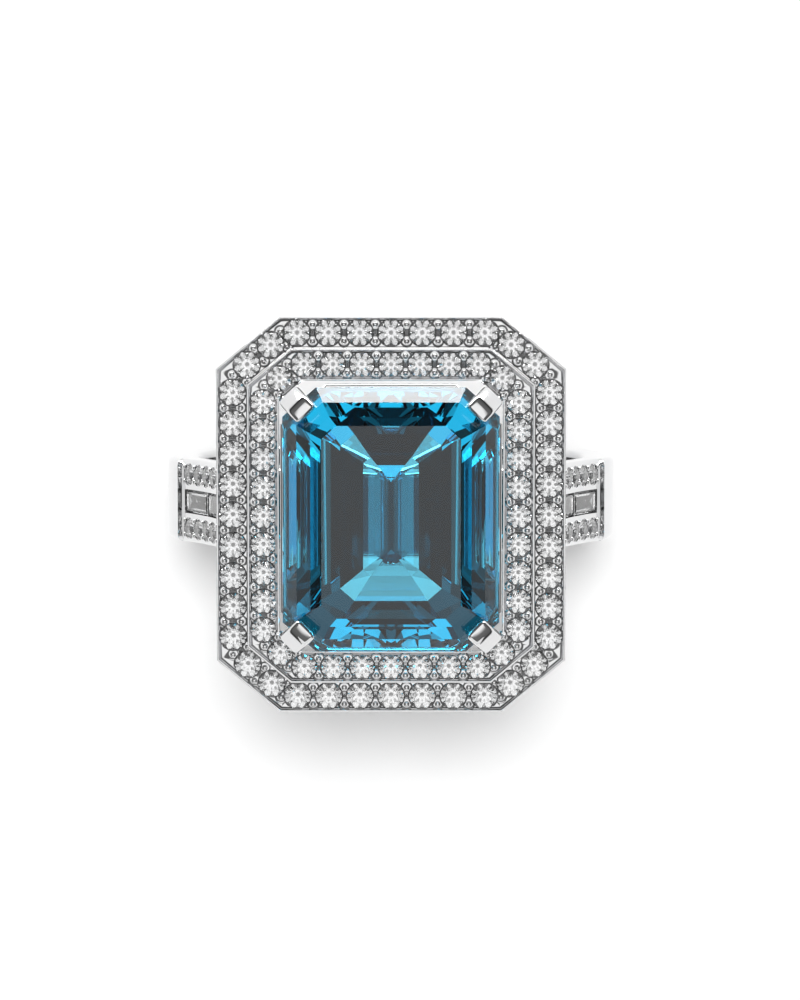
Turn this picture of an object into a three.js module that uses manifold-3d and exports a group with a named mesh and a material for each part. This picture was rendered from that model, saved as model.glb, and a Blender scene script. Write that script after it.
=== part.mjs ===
// A double-halo cocktail ring, built as the bench builds it: a band with two raised shoulders, a four-prong
// basket, two pavé halo frames, two gallery wires, and the stones that sit in them.
// Millimetres, +Z up through the head, +Y along the finger. The origin is the centre of the finger hole.
import * as THREE from "three";
import { mergeVertices } from "three/addons/utils/BufferGeometryUtils.js";
import Module from "manifold-3d";

const wasm = await Module();
wasm.setup();

// ---------- Driving dimensions ----------

const GAP = 0.03; // clearance between a stone or wire and the metal that holds it
const OVERSHOOT = 0.2; // how far a cutting tool runs past the face that it opens

const BAND = { fingerRadius: 8.65, outerRadius: 10.2, width: 3.7, edge: 0.3, innerEdge: 0.15 };
// Each shoulder steps in from the band's circle at startAngle and sweeps up to the underside of the head.
const SHOULDER = { startAngle: 20.7, step: 0.2, startSlope: 57, topX: 6.7, topZ: 10.55, topSlope: 78, innerX: 5.7 };

const HEAD = { halfX: 7.38, halfY: 8.38, cutX: 2.68, cutY: 2.215 }; // outline, an oblong with cut corners

const OUTER_HALO = { from: 0, to: 1.3, bottom: 10.6, top: 12.0, rail: 0.09, row: 0.69, girdleZ: 11.88 };
const INNER_HALO = { from: 1.33, to: 2.68, bottom: 11.2, top: 12.65, rail: 0.11, row: 2.0, girdleZ: 12.53 };
const FLOOR_DROP = 0.02; // a halo's floor lies this far under its stones' girdles

// Rows of round stones: how many lie on a long side, a short side and a corner, and how far apart.
const OUTER_ROW = { long: 9, longPitch: 1.293, short: 7, shortPitch: 1.32, corner: 2, cornerPitch: 1.3 };
const INNER_ROW = { long: 9, longPitch: 1.2, short: 7, shortPitch: 1.22, corner: 1, cornerPitch: 0 };
const OUTER_STONE = 1.12; // diameters of the round stones
const INNER_STONE = 1.04;
const SHOULDER_STONE = 0.88;
const BRILLIANT = { table: 0.56, crown: 0.16, pavilion: 0.43, sides: 8 }; // shares of the diameter
const AZURE_RADIUS = 0.22; // the light hole drilled under each halo stone
const BEAD = { topRadius: 0.1, footRadius: 0.13, across: 0.39, height: 0.2 };
const TIE = 0.1; // the square bar that ties a strip of round stones together

// The centre stone, as steps of a cut-corner oblong: [half X, half Y, corner X, corner Y, height from the girdle].
const CENTRE_Z = 14.4;
const CENTRE_STEPS = [
  [1.17, 2.5, 0.31, 0.27, -3.57],
  [2.13, 3.5, 0.6, 0.52, -2.71],
  [4.5, 5.5, 1.4, 1.22, -0.08],
  [4.5, 5.5, 1.4, 1.22, 0.08],
  [3.9, 4.9, 1.09, 0.95, 0.75],
  [3.32, 4.33, 0.79, 0.69, 1.24],
  [2.87, 3.97, 0.63, 0.55, 1.48],
];
const KEEL = { halfY: 1.42, z: -4.42 }; // the ridge that the pavilion ends in
const KEEL_POCKET = 0.12; // clearance round the keel where it dips into the top of the band

const PRONG = { width: 1.05, edge: 0.08, x: 3.88, y: 4.82 }; // x, y is where it crosses the girdle's corner
const PRONG_PROFILE = [ // distance outwards from the girdle's corner, and height
  [-1.35, 10.3], [0.6, 14.6], [0.6, 14.75], [0.02, 15.46], [-0.52, 15.57],
  [-0.64, 15.4], [-0.64, 14.7], [-0.25, 14.35], [-2.1, 10.3],
];
const SEAT_RAIL = { halfX: 4.62, halfY: 5.62, cutX: 1.9, cutY: 1.7, wire: 0.6, bottom: 13.4, top: 14.0 };
const BASE_RAIL = { halfX: 3.2, halfY: 4.35, cutX: 1.3, cutY: 1.4, wire: 0.55, bottom: 10.3, top: 10.85 };
const BASE_FOOT = { length: 1.8, bottom: 9.9 }; // stands the base rail on the band
const LUG = { width: 0.6, from: -0.9, to: 0.9, bottom: 11.5, top: 12.1 }; // ties the inner halo to a prong
const GALLERY = { from: 0.75, to: 1.25, bottom: 9.5, top: 10.05, endY: 1.9, post: 0.4, postTop: 10.57 };

const SHOULDER_ROW = { count: 7, pitch: 0.95, first: 0.66, y: 1.2, sink: 0.06 };
const BAGUETTE = { length: 2.45, width: 1.0, first: 0.3, pitch: 2.55, table: 0.62, crown: 0.14, pavilion: 0.5 };
const CHANNEL = { depth: 0.62, sink: 0.1 };

// ---------- Materials ----------

const metal = new THREE.MeshStandardMaterial({ color: 0xd9dadb, roughness: 0.12, metalness: 1 });
const blueTopaz = new THREE.MeshStandardMaterial({ color: 0x12536e, roughness: 0.03, metalness: 0 });
const whiteStone = new THREE.MeshStandardMaterial({ color: 0xeef1f4, roughness: 0.03, metalness: 0 });

// ---------- Solids ----------

function toSolid(geometry) {
  const bare = geometry.clone();
  bare.deleteAttribute("normal");
  bare.deleteAttribute("uv");
  const merged = mergeVertices(bare);
  return new wasm.Manifold(
    new wasm.Mesh({
      numProp: 3,
      vertProperties: merged.attributes.position.array,
      triVerts: new Uint32Array(merged.index.array),
    }),
  );
}

function toGeometry(solid) {
  const mesh = solid.getMesh();
  return new THREE.BufferGeometry()
    .setAttribute("position", new THREE.BufferAttribute(mesh.vertProperties, 3))
    .setIndex(new THREE.BufferAttribute(mesh.triVerts, 1));
}

const joined = (solids) => solids.reduce((a, b) => a.add(b));
const cutBy = (solid, cutters) => cutters.reduce((a, b) => a.subtract(b), solid);
const placed = (geometry, matrix) => toSolid(geometry.clone().applyMatrix4(matrix));

// A solid through a stack of equal rings of points, lowest first, closed by a flat cap at each end.
function loft(rings) {
  const count = rings[0].length;
  const triangles = [];
  const corner = (ring, i) => rings[ring][i % count];
  for (let r = 0; r + 1 < rings.length; r++)
    for (let i = 0; i < count; i++) {
      triangles.push(corner(r, i), corner(r, i + 1), corner(r + 1, i + 1));
      triangles.push(corner(r, i), corner(r + 1, i + 1), corner(r + 1, i));
    }
  const last = rings.length - 1;
  for (let i = 1; i + 1 < count; i++) {
    triangles.push(corner(0, 0), corner(0, i + 1), corner(0, i));
    triangles.push(corner(last, 0), corner(last, i), corner(last, i + 1));
  }
  return new THREE.BufferGeometry().setFromPoints(triangles);
}

// ---------- Outlines ----------

// The eight corners of an oblong with cut corners, anticlockwise from the right-hand side.
function octagon({ halfX, halfY, cutX, cutY }) {
  return [
    [halfX, -halfY + cutY], [halfX, halfY - cutY], [halfX - cutX, halfY], [-halfX + cutX, halfY],
    [-halfX, halfY - cutY], [-halfX, -halfY + cutY], [-halfX + cutX, -halfY], [halfX - cutX, -halfY],
  ].map(([x, y]) => new THREE.Vector2(x, y));
}

// The same outline moved inwards by distance on every side, corners included.
function inset({ halfX, halfY, cutX, cutY }, distance) {
  const length = Math.hypot(cutX, cutY);
  const shrink = (length - cutX - cutY) * distance; // what the cut corner gives up, times its length
  return {
    halfX: halfX - distance,
    halfY: halfY - distance,
    cutX: cutX + shrink / cutY,
    cutY: cutY + shrink / cutX,
  };
}

function octagonRing(outer, inner, bottom, top) {
  const shape = new THREE.Shape(octagon(outer));
  shape.holes.push(new THREE.Path(octagon(inner).reverse()));
  const geometry = new THREE.ExtrudeGeometry(shape, { depth: top - bottom, bevelEnabled: false });
  return toSolid(geometry.translate(0, 0, bottom));
}

// ---------- Round stones and their seats ----------

function latheZ(profile, sides) {
  const points = profile.map(([radius, z]) => new THREE.Vector2(radius, z));
  return new THREE.LatheGeometry(points, sides).rotateX(Math.PI / 2);
}

// Centred on its girdle, table up.
function brilliant(diameter) {
  const { table, crown, pavilion, sides } = BRILLIANT;
  return latheZ(
    [[0, -pavilion * diameter], [diameter / 2, 0], [(table * diameter) / 2, crown * diameter], [0, crown * diameter]],
    sides,
  );
}

// The tool that cuts a stone's seat: a taper from the girdle down to the light hole, and a clear way in above.
function seatTool(diameter, depth) {
  const radius = diameter / 2 + GAP;
  return latheZ([[0, -depth], [AZURE_RADIUS, -depth], [radius, 0], [radius, 0.5], [0, 0.5]], BRILLIANT.sides);
}

// The stones' places round one halo, anticlockwise from the lower end of the right-hand side, with the side
// that each belongs to. Corner stones lie on the cut corner and go with the long sides.
function haloPlaces(row, outline) {
  const { halfX, halfY, cutX, cutY } = outline;
  const spread = (count, pitch) => Array.from({ length: count }, (_, i) => (i - (count - 1) / 2) * pitch);
  const places = [];
  const cornerMiddle = new THREE.Vector2(halfX - cutX / 2, halfY - cutY / 2);
  const along = new THREE.Vector2(-cutX, cutY).normalize();
  const corner = (signX, signY, order) =>
    spread(row.corner, row.cornerPitch).forEach((s) => {
      const step = cornerMiddle.clone().addScaledVector(along, s * order);
      places.push({ x: step.x * signX, y: step.y * signY, side: signX > 0 ? "east" : "west" });
    });
  spread(row.long, row.longPitch).forEach((y) => places.push({ x: halfX, y, side: "east" }));
  corner(1, 1, 1);
  spread(row.short, row.shortPitch).forEach((x) => places.push({ x: -x, y: halfY, side: "north" }));
  corner(-1, 1, -1);
  spread(row.long, row.longPitch).forEach((y) => places.push({ x: -halfX, y: -y, side: "west" }));
  corner(-1, -1, 1);
  spread(row.short, row.shortPitch).forEach((x) => places.push({ x, y: -halfY, side: "south" }));
  corner(1, -1, -1);
  return places;
}

// Two beads between each pair of neighbours, one on each side of the row.
function beads(places, floorZ, girdleZ) {
  const top = girdleZ + BEAD.height;
  const post = new THREE.CylinderGeometry(BEAD.topRadius, BEAD.footRadius, top - floorZ + OVERSHOOT, 4)
    .rotateX(Math.PI / 2)
    .translate(0, 0, (top + floorZ - OVERSHOOT) / 2);
  return places.flatMap((place, i) => {
    const next = places[(i + 1) % places.length];
    const across = new THREE.Vector2(next.y - place.y, place.x - next.x).normalize().multiplyScalar(BEAD.across);
    return [1, -1].map((side) =>
      placed(
        post,
        new THREE.Matrix4().makeTranslation(
          (place.x + next.x) / 2 + side * across.x,
          (place.y + next.y) / 2 + side * across.y,
          0,
        ),
      ),
    );
  });
}

// A bar from one stone's girdle to the next, for stones that share a node.
function tie(from, to) {
  const middle = from.clone().add(to).multiplyScalar(0.5);
  const bar = new THREE.BoxGeometry(from.distanceTo(to), TIE, TIE);
  const turn = new THREE.Quaternion().setFromUnitVectors(
    new THREE.Vector3(1, 0, 0),
    to.clone().sub(from).normalize(),
  );
  return placed(bar, new THREE.Matrix4().compose(middle, turn, new THREE.Vector3(1, 1, 1)));
}

// ---------- Halo frames ----------

function haloFrame(halo, places, diameter, innerRail, lugs = []) {
  const outline = inset(HEAD, halo.from);
  const inner = inset(HEAD, halo.to);
  const floorZ = halo.girdleZ - FLOOR_DROP;
  const body = octagonRing(outline, inner, halo.bottom, halo.top);
  const channelInner = inset(HEAD, innerRail ? halo.to - halo.rail : halo.to + OVERSHOOT);
  const channel = octagonRing(inset(HEAD, halo.from + halo.rail), channelInner, floorZ, halo.top + OVERSHOOT);
  const seat = seatTool(diameter, halo.girdleZ - halo.bottom + OVERSHOOT);
  const seats = places.map(({ x, y }) => placed(seat, new THREE.Matrix4().makeTranslation(x, y, halo.girdleZ)));
  // At the corners the beads are trimmed flush with the frame.
  const trimmed = joined(beads(places, floorZ, halo.girdleZ)).intersect(
    octagonRing(outline, inner, halo.bottom, halo.top + OVERSHOOT),
  );
  return cutBy(joined([body.subtract(channel), trimmed, ...lugs]), seats);
}

// ---------- Centre stone and basket ----------

// grow makes the tool that clears the stone's space in the metal round it.
function centreStone(grow = 0) {
  const keelY = KEEL.halfY + grow;
  const ring = (halfX, halfY, cutX, cutY, z) =>
    octagon({ halfX: halfX + grow, halfY: halfY + grow, cutX, cutY }).map(
      (p) => new THREE.Vector3(p.x, p.y, CENTRE_Z + z + Math.sign(z) * grow),
    );
  const steps = CENTRE_STEPS.map((step) => ring(...step));
  const keel = octagon({ halfX: 0.01, halfY: keelY, cutX: 0.005, cutY: 0.005 }).map(
    (p) => new THREE.Vector3(p.x, p.y, CENTRE_Z + KEEL.z - grow),
  );
  return toSolid(loft([keel, ...steps]));
}

function rail({ wire, bottom, top, ...outline }, grow = 0) {
  return octagonRing(inset(outline, -grow), inset(outline, wire + grow), bottom - grow, top + grow);
}

// One prong at the corner given by the two signs. grow widens it on every side, for cutting.
function prong(signX, signY, grow = 0) {
  const profile = new THREE.Shape(PRONG_PROFILE.map(([out, z]) => new THREE.Vector2(out, z)));
  const edge = PRONG.edge;
  const geometry = new THREE.ExtrudeGeometry(profile, {
    depth: PRONG.width - 2 * edge + 2 * grow,
    bevelThickness: edge,
    bevelSize: edge,
    bevelOffset: grow - edge,
    bevelSegments: 1,
  });
  // The profile's plane stands upright, with its first axis along the corner's diagonal.
  const outward = new THREE.Vector3(signX, signY, 0).normalize();
  const up = new THREE.Vector3(0, 0, 1);
  const side = outward.clone().cross(up);
  const matrix = new THREE.Matrix4().makeBasis(outward, up, side);
  geometry.translate(0, 0, -(PRONG.width / 2 - edge + grow));
  return placed(geometry, matrix.setPosition(PRONG.x * signX, PRONG.y * signY, 0));
}

const CORNERS = [
  ["north_east", 1, 1],
  ["north_west", -1, 1],
  ["south_west", -1, -1],
  ["south_east", 1, -1],
];

// A bar in from the inner halo's corner, which the prong then shapes the end of.
function lug(signX, signY) {
  const bar = new THREE.BoxGeometry(LUG.to - LUG.from, LUG.width, LUG.top - LUG.bottom);
  bar.translate((LUG.from + LUG.to) / 2, 0, (LUG.bottom + LUG.top) / 2);
  const turn = new THREE.Matrix4().makeRotationZ(Math.atan2(signY, signX));
  return placed(bar, turn.setPosition(PRONG.x * signX, PRONG.y * signY, 0));
}

function baseRail() {
  const height = BASE_RAIL.bottom - BASE_FOOT.bottom + OVERSHOOT;
  const foot = new THREE.BoxGeometry(BASE_RAIL.wire, BASE_FOOT.length, height);
  const x = BASE_RAIL.halfX - BASE_RAIL.wire / 2;
  const feet = [x, -x].map((side) =>
    placed(foot, new THREE.Matrix4().makeTranslation(side, 0, BASE_FOOT.bottom + height / 2)),
  );
  return joined([rail(BASE_RAIL), ...feet]);
}

// The wire and posts under one half of the outer halo, from one shoulder round to the other.
function gallery(signY) {
  const wire = octagonRing(inset(HEAD, GALLERY.from), inset(HEAD, GALLERY.to), GALLERY.bottom, GALLERY.top);
  const span = HEAD.halfY - GALLERY.endY;
  const half = new THREE.BoxGeometry(2 * HEAD.halfX, span, 2).translate(0, signY * (GALLERY.endY + span / 2), 10);
  const line = inset(HEAD, (GALLERY.from + GALLERY.to) / 2);
  const path = octagon(line).filter((p) => p.y * signY > 0);
  path.sort((a, b) => b.x - a.x || signY * (a.y - b.y));
  const corners = path.map((p) => [p.x, p.y]);
  const sides = [0, 1, 2].map((i) => [(path[i].x + path[i + 1].x) / 2, (path[i].y + path[i + 1].y) / 2]);
  const ends = [line.halfX, -line.halfX].map((x) => [x, signY * (GALLERY.endY + GALLERY.post)]);
  const height = GALLERY.postTop - GALLERY.bottom - OVERSHOOT;
  const post = new THREE.CylinderGeometry(GALLERY.post / 2, GALLERY.post / 2, height, 8).rotateX(Math.PI / 2);
  const posts = [...corners, ...sides, ...ends].map(([x, y]) =>
    placed(post, new THREE.Matrix4().makeTranslation(x, y, GALLERY.postTop - height / 2)),
  );
  return joined([wire.intersect(toSolid(half)), ...posts]);
}

// ---------- Band, shoulders and what is set in them ----------

const radians = THREE.MathUtils.degToRad;

// The outer surface of the right-hand shoulder, from the band's circle up to the head, as X and Z.
function shoulderCurve() {
  const start = radians(SHOULDER.startAngle);
  const from = new THREE.Vector2(Math.cos(start), Math.sin(start)).multiplyScalar(BAND.outerRadius - SHOULDER.step);
  const to = new THREE.Vector2(SHOULDER.topX, SHOULDER.topZ);
  const rise = new THREE.Vector2(-Math.cos(radians(SHOULDER.startSlope)), Math.sin(radians(SHOULDER.startSlope)));
  const fall = new THREE.Vector2(Math.cos(radians(SHOULDER.topSlope)), -Math.sin(radians(SHOULDER.topSlope)));
  // The two end tangents meet at the curve's control point.
  const gap = to.clone().sub(from);
  const reach = gap.cross(fall) / rise.cross(fall);
  return new THREE.QuadraticBezierCurve(from, from.clone().addScaledVector(rise, reach), to);
}

const shoulder = shoulderCurve();
const SHOULDER_STEPS = 7;

function bandOutline() {
  const right = shoulder.getPoints(SHOULDER_STEPS);
  const mirrored = (points) => points.map((p) => new THREE.Vector2(-p.x, p.y)).reverse();
  const arc = (fromDegrees, toDegrees, steps) =>
    Array.from({ length: steps + 1 }, (_, i) => {
      const angle = radians(fromDegrees + ((toDegrees - fromDegrees) * i) / steps);
      return new THREE.Vector2(Math.cos(angle), Math.sin(angle)).multiplyScalar(BAND.outerRadius);
    });
  const crownAngle = THREE.MathUtils.radToDeg(Math.acos(SHOULDER.innerX / BAND.outerRadius));
  const low = arc(180 - SHOULDER.startAngle, 360 + SHOULDER.startAngle, 44);
  const crown = arc(crownAngle, 180 - crownAngle, 12);
  return [
    ...low,
    ...right,
    new THREE.Vector2(SHOULDER.innerX, SHOULDER.topZ),
    ...crown,
    new THREE.Vector2(-SHOULDER.innerX, SHOULDER.topZ),
    ...mirrored(right),
  ];
}

// Turns shapes drawn in X and Z, and extruded towards -Y, into the ring's own axes.
const UPRIGHT = new THREE.Matrix4().makeRotationX(Math.PI / 2);

function bandBlank() {
  const { width, edge } = BAND;
  const geometry = new THREE.ExtrudeGeometry(new THREE.Shape(bandOutline()), {
    depth: width - 2 * edge,
    bevelThickness: edge,
    bevelSize: edge,
    bevelOffset: -edge,
    bevelSegments: 2,
  });
  return placed(geometry.translate(0, 0, -(width / 2 - edge)), UPRIGHT);
}

function fingerHole() {
  const { fingerRadius, innerEdge, width } = BAND;
  const half = width / 2;
  const flare = fingerRadius + innerEdge + OVERSHOOT;
  const points = [
    [0, -half - OVERSHOOT], [flare, -half - OVERSHOOT], [fingerRadius, -half + innerEdge],
    [fingerRadius, half - innerEdge], [flare, half + OVERSHOOT], [0, half + OVERSHOOT],
  ].map(([radius, y]) => new THREE.Vector2(radius, y));
  return toSolid(new THREE.LatheGeometry(points, 64));
}

// The place on a shoulder's surface at a distance along it, y across the band, and depth below the surface.
// The matrix's Z axis points out of the metal and its X axis up along the shoulder.
function shoulderPlace(sign, distance, y, depth) {
  const share = distance / shoulder.getLength();
  const point = shoulder.getPointAt(share);
  const tangent = shoulder.getTangentAt(share);
  const along = new THREE.Vector3(sign * tangent.x, 0, tangent.y);
  const out = new THREE.Vector3(sign * tangent.y, 0, -tangent.x);
  const across = out.clone().cross(along);
  const origin = new THREE.Vector3(sign * point.x, y, point.y).addScaledVector(out, -depth);
  return new THREE.Matrix4().makeBasis(along, across, out).setPosition(origin);
}

const SHOULDER_SIDES = [
  ["right", 1],
  ["left", -1],
];
const SHOULDER_ROWS = [
  ["north", SHOULDER_ROW.y],
  ["south", -SHOULDER_ROW.y],
];

function rowPlaces(sign, y) {
  return Array.from({ length: SHOULDER_ROW.count }, (_, i) =>
    shoulderPlace(sign, SHOULDER_ROW.first + i * SHOULDER_ROW.pitch, y, SHOULDER_ROW.sink),
  );
}

// A straight-sided step cut, its girdle at z = 0. grow makes the tool that cuts its space.
function baguette(grow = 0) {
  const { length, width, table, crown, pavilion } = BAGUETTE;
  const rectangle = (halfLength, halfWidth, z) =>
    [[1, -1], [1, 1], [-1, 1], [-1, -1]].map(([x, y]) => new THREE.Vector3(x * halfLength, y * halfWidth, z));
  const halfLength = length / 2;
  const halfWidth = width / 2;
  const inward = halfWidth * (1 - table);
  if (grow)
    return loft([
      rectangle(halfLength + grow, halfWidth + grow, -CHANNEL.depth),
      rectangle(halfLength + grow, halfWidth + grow, CHANNEL.depth),
    ]);
  return loft([
    rectangle(halfLength - halfWidth, 0.02, -pavilion),
    rectangle(halfLength, halfWidth, -0.02),
    rectangle(halfLength, halfWidth, 0.02),
    rectangle(halfLength - inward, halfWidth - inward, crown),
  ]);
}

function baguettePlaces(sign) {
  return [0, 1].map((i) =>
    shoulderPlace(sign, BAGUETTE.first + BAGUETTE.length / 2 + i * BAGUETTE.pitch, 0, CHANNEL.sink),
  );
}

function shank() {
  const seat = seatTool(SHOULDER_STONE, BRILLIANT.pavilion * SHOULDER_STONE);
  const pocket = baguette(GAP);
  const cutters = SHOULDER_SIDES.flatMap(([, sign]) => [
    ...SHOULDER_ROWS.flatMap(([, y]) => rowPlaces(sign, y).map((place) => placed(seat, place))),
    ...baguettePlaces(sign).map((place) => placed(pocket, place)),
  ]);
  return cutBy(bandBlank(), [fingerHole(), centreStone(KEEL_POCKET), ...cutters]);
}

// ---------- Assembly ----------

const ring = new THREE.Group();

function add(name, solid, material) {
  const mesh = new THREE.Mesh(toGeometry(solid), material);
  mesh.name = name;
  ring.add(mesh);
}

// A strip of equal round stones in one node, each tied to the next at the girdle.
function strip(stone, matrices) {
  const centres = matrices.map((matrix) => new THREE.Vector3().setFromMatrixPosition(matrix));
  const ties = centres.slice(1).map((centre, i) => tie(centres[i], centre));
  return joined([...matrices.map((matrix) => placed(stone, matrix)), ...ties]);
}

const outerPlaces = haloPlaces(OUTER_ROW, inset(HEAD, OUTER_HALO.row));
const innerPlaces = haloPlaces(INNER_ROW, inset(HEAD, INNER_HALO.row));
const stoneSpace = centreStone(GAP);
const prongSpaces = CORNERS.map(([, signX, signY]) => prong(signX, signY, GAP));

add("shank", shank(), metal);
add("gallery_wire_north", gallery(1), metal);
add("gallery_wire_south", gallery(-1), metal);
add("outer_halo_frame", haloFrame(OUTER_HALO, outerPlaces, OUTER_STONE, false), metal);

const lugs = CORNERS.map(([, signX, signY]) => lug(signX, signY));
const innerFrame = haloFrame(INNER_HALO, innerPlaces, INNER_STONE, true, lugs);
add("inner_halo_frame", cutBy(innerFrame, prongSpaces), metal);

add("basket_base_rail", baseRail(), metal);
add("basket_seat_rail", rail(SEAT_RAIL).subtract(stoneSpace), metal);
const railSpaces = [rail(SEAT_RAIL, GAP), rail(BASE_RAIL, GAP)];
for (const [corner, signX, signY] of CORNERS)
  add(`prong_${corner}`, cutBy(prong(signX, signY), [stoneSpace, ...railSpaces]), metal);

add("centre_stone", centreStone(), blueTopaz);

const outerStone = brilliant(OUTER_STONE);
for (const side of ["north", "east", "south", "west"]) {
  const first = outerPlaces.findIndex((p, i) => p.side === side && outerPlaces.at(i - 1).side !== side);
  const places = outerPlaces.map((_, i) => outerPlaces[(first + i) % outerPlaces.length]);
  const run = places.slice(0, places.findIndex((p) => p.side !== side));
  const matrices = run.map(({ x, y }) => new THREE.Matrix4().makeTranslation(x, y, OUTER_HALO.girdleZ));
  add(`outer_halo_stones_${side}`, strip(outerStone, matrices), whiteStone);
}

const innerStone = brilliant(INNER_STONE);
innerPlaces.forEach(({ x, y }, i) => {
  const name = `inner_halo_stone_${String(i + 1).padStart(2, "0")}`;
  add(name, placed(innerStone, new THREE.Matrix4().makeTranslation(x, y, INNER_HALO.girdleZ)), whiteStone);
});

const shoulderStone = brilliant(SHOULDER_STONE);
for (const [side, sign] of SHOULDER_SIDES) {
  for (const [row, y] of SHOULDER_ROWS)
    add(`shoulder_stones_${side}_${row}`, strip(shoulderStone, rowPlaces(sign, y)), whiteStone);
  baguettePlaces(sign).forEach((place, i) =>
    add(`baguette_${side}_${["lower", "upper"][i]}`, placed(baguette(), place), whiteStone),
  );
}

export default ring;
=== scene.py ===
"""A double-halo cocktail ring in white gold, with a blue step-cut stone and diamond pavé.

Shapes are drawn in millimetres in the part's own frame, +Z up through the head and +Y along the finger,
and become metres when a piece is finished.
"""

import math

import bmesh
import bpy
from mathutils import Matrix, Vector


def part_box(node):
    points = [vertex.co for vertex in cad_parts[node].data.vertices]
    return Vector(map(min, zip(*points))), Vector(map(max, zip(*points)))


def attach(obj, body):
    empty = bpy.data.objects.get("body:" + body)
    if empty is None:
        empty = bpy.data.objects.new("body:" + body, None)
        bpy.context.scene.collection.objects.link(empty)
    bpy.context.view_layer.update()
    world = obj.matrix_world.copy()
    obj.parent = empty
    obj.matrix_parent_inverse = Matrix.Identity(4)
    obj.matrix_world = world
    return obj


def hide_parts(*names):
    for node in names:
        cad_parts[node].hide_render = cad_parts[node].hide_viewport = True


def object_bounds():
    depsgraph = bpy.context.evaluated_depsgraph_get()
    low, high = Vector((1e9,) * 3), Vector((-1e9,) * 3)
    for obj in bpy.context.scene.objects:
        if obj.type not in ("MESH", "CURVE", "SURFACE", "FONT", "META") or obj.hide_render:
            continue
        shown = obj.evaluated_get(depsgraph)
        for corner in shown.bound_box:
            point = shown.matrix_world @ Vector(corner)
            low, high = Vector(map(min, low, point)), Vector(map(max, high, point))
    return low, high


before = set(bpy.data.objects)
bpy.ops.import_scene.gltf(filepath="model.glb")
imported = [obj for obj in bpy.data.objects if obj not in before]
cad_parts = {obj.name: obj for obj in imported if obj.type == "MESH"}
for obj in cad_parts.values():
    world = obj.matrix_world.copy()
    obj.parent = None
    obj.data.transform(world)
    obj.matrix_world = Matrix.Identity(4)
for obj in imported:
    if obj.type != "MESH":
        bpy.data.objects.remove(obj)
CAD_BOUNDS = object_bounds()
MM = 0.001


# ---------- Measures from the frame, in millimetres ----------


def box_mm(node):
    low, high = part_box(node)
    return low / MM, high / MM


HEAD_LOW, HEAD_HIGH = box_mm("outer_halo_frame")
HEAD = (HEAD_HIGH.x, HEAD_HIGH.y)  # half sizes of the outer halo's outline
CUT = (2.68, 2.215)  # what each corner of that outline loses along X and Y

OUTER_BOTTOM, OUTER_TOP = HEAD_LOW.z, 12.0
INNER_BOTTOM, INNER_TOP = 11.2, 12.65
OUTER_INSETS = (0.0, 1.3)  # how far inside the head's outline each halo begins and ends
INNER_INSETS = (1.33, 2.68)
# Each row of round stones: its inset, then the stones along each long side, short side and corner.
OUTER_ROW = {"inset": 0.69, "long": 9, "long_pitch": 1.293, "short": 7, "short_pitch": 1.32, "corner": 2}
INNER_ROW = {"inset": 2.0, "long": 9, "long_pitch": 1.2, "short": 7, "short_pitch": 1.22, "corner": 1}
CORNER_PITCH = 1.3
OUTER_GIRDLE, INNER_GIRDLE = 11.88, 12.53
OUTER_STONE, INNER_STONE, SHOULDER_STONE = 1.14, 1.06, 0.9  # diameters

BAND_LOW, BAND_HIGH = box_mm("shank")
BAND_OUTER = -BAND_LOW.z
BAND_FINGER = 8.65  # the finger hole's radius
BAND_HALF = BAND_HIGH.y
BAND_EDGE = 0.32
BAND_SOFT_EDGE = 0.3  # how far the finger hole's mouths are rounded
SHOULDER_START = math.radians(20.7)
SHOULDER_STEP = 0.2
SHOULDER_TOP = (6.7, BAND_HIGH.z)
SHOULDER_INNER = 5.7  # where the flat top of each shoulder ends
SHOULDER_SLOPES = (math.radians(57), math.radians(78))
SHOULDER_ROW = {"count": 7, "pitch": 0.95, "first": 0.66, "y": 1.2, "sink": 0.06}
SHOULDER_SEAT_DEPTH = 0.45
SHOULDER_BEAD_ACROSS = 0.32
SHOULDER_BEAD_SINK = 0.02
BAGUETTE = {"length": 2.45, "width": 1.0, "first": 0.3, "pitch": 2.55, "sink": 0.1}
BAGUETTE_KEEL = -0.5
BAGUETTE_STEPS = [(0.2, -0.32), (0, -0.02), (0, 0.02), (0.09, 0.1), (0.175, 0.14)]  # inset and height
BAGUETTE_POCKET = {"gap": 0.06, "depth": 0.6}


# ---------- Materials ----------

METAL_TINTS = ((0.72, 0.725, 0.735, 1), (0.76, 0.76, 0.76, 1))
METAL_ROUGHNESS = (0.03, 0.1)
BLUE_TINTS = ((0.24, 0.72, 0.88, 1), (0.3, 0.76, 0.91, 1))
BLUE_ABSORPTION = ((0.0, 0.86, 0.985, 1), 180)  # colour and density
WHITE_TINTS = ((0.95, 0.96, 0.97, 1), (1, 1, 1, 1))
STONE_ROUGHNESS = (0.0, 0.003)
TOPAZ_IOR, DIAMOND_IOR = 1.62, 2.42


def new_material(name):
    material = bpy.data.materials.new(name)
    material.use_nodes = True
    nodes = material.node_tree.nodes
    return material, nodes, material.node_tree.links, nodes["Principled BSDF"]


def noise(nodes, links, scale, detail=4.0, stretch=(1, 1, 1)):
    """Noise in the object's own space, with scale in features per metre."""
    place = nodes.new("ShaderNodeTexCoord")
    mapping = nodes.new("ShaderNodeMapping")
    mapping.inputs["Scale"].default_value = stretch
    texture = nodes.new("ShaderNodeTexNoise")
    texture.inputs["Scale"].default_value = scale
    texture.inputs["Detail"].default_value = detail
    links.new(place.outputs["Object"], mapping.inputs["Vector"])
    links.new(mapping.outputs["Vector"], texture.inputs["Vector"])
    return texture.outputs["Fac"]


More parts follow.
